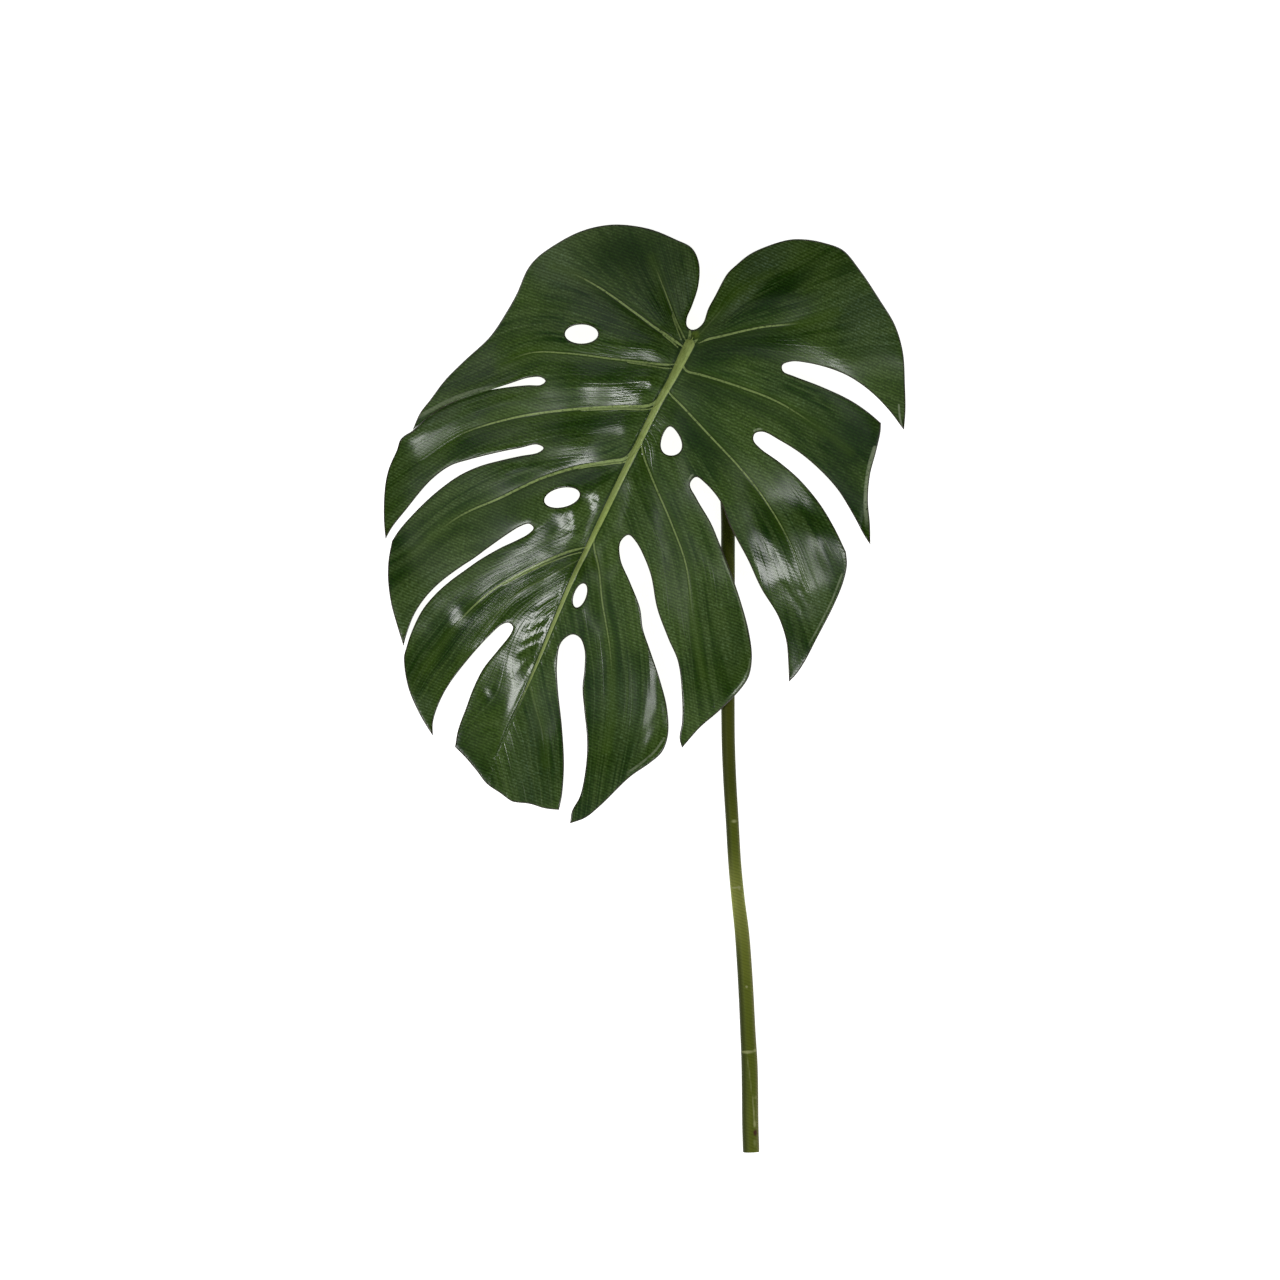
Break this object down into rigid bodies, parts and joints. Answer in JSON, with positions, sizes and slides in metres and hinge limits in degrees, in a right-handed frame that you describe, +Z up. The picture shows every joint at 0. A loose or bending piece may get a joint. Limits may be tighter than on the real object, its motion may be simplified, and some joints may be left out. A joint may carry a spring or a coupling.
{
  "type": "monstera leaf",
  "caption": "Cut monstera leaf lying face up: an arched heart-shaped blade with slits and holes beside the midrib, on a long round stem.",
  "frame": {"origin": "on the surface that the leaf lies on, under the middle of its bounding box", "axes": "+Z up out of the surface, on the blade's face side; +Y from the cut foot of the stem towards the blade's notched base; +X to the right as the blade is seen from above"},
  "size_m": [0.2871, 0.508, 0.0564],
  "materials": {
    "blade": "waxy leaf, satin gloss on top and dull beneath",
    "petiole": "smooth plant stem, satin"
  },
  "bodies": {
    "root": {"blade": "blade", "petiole": "petiole"}
  },
  "joints": []
}
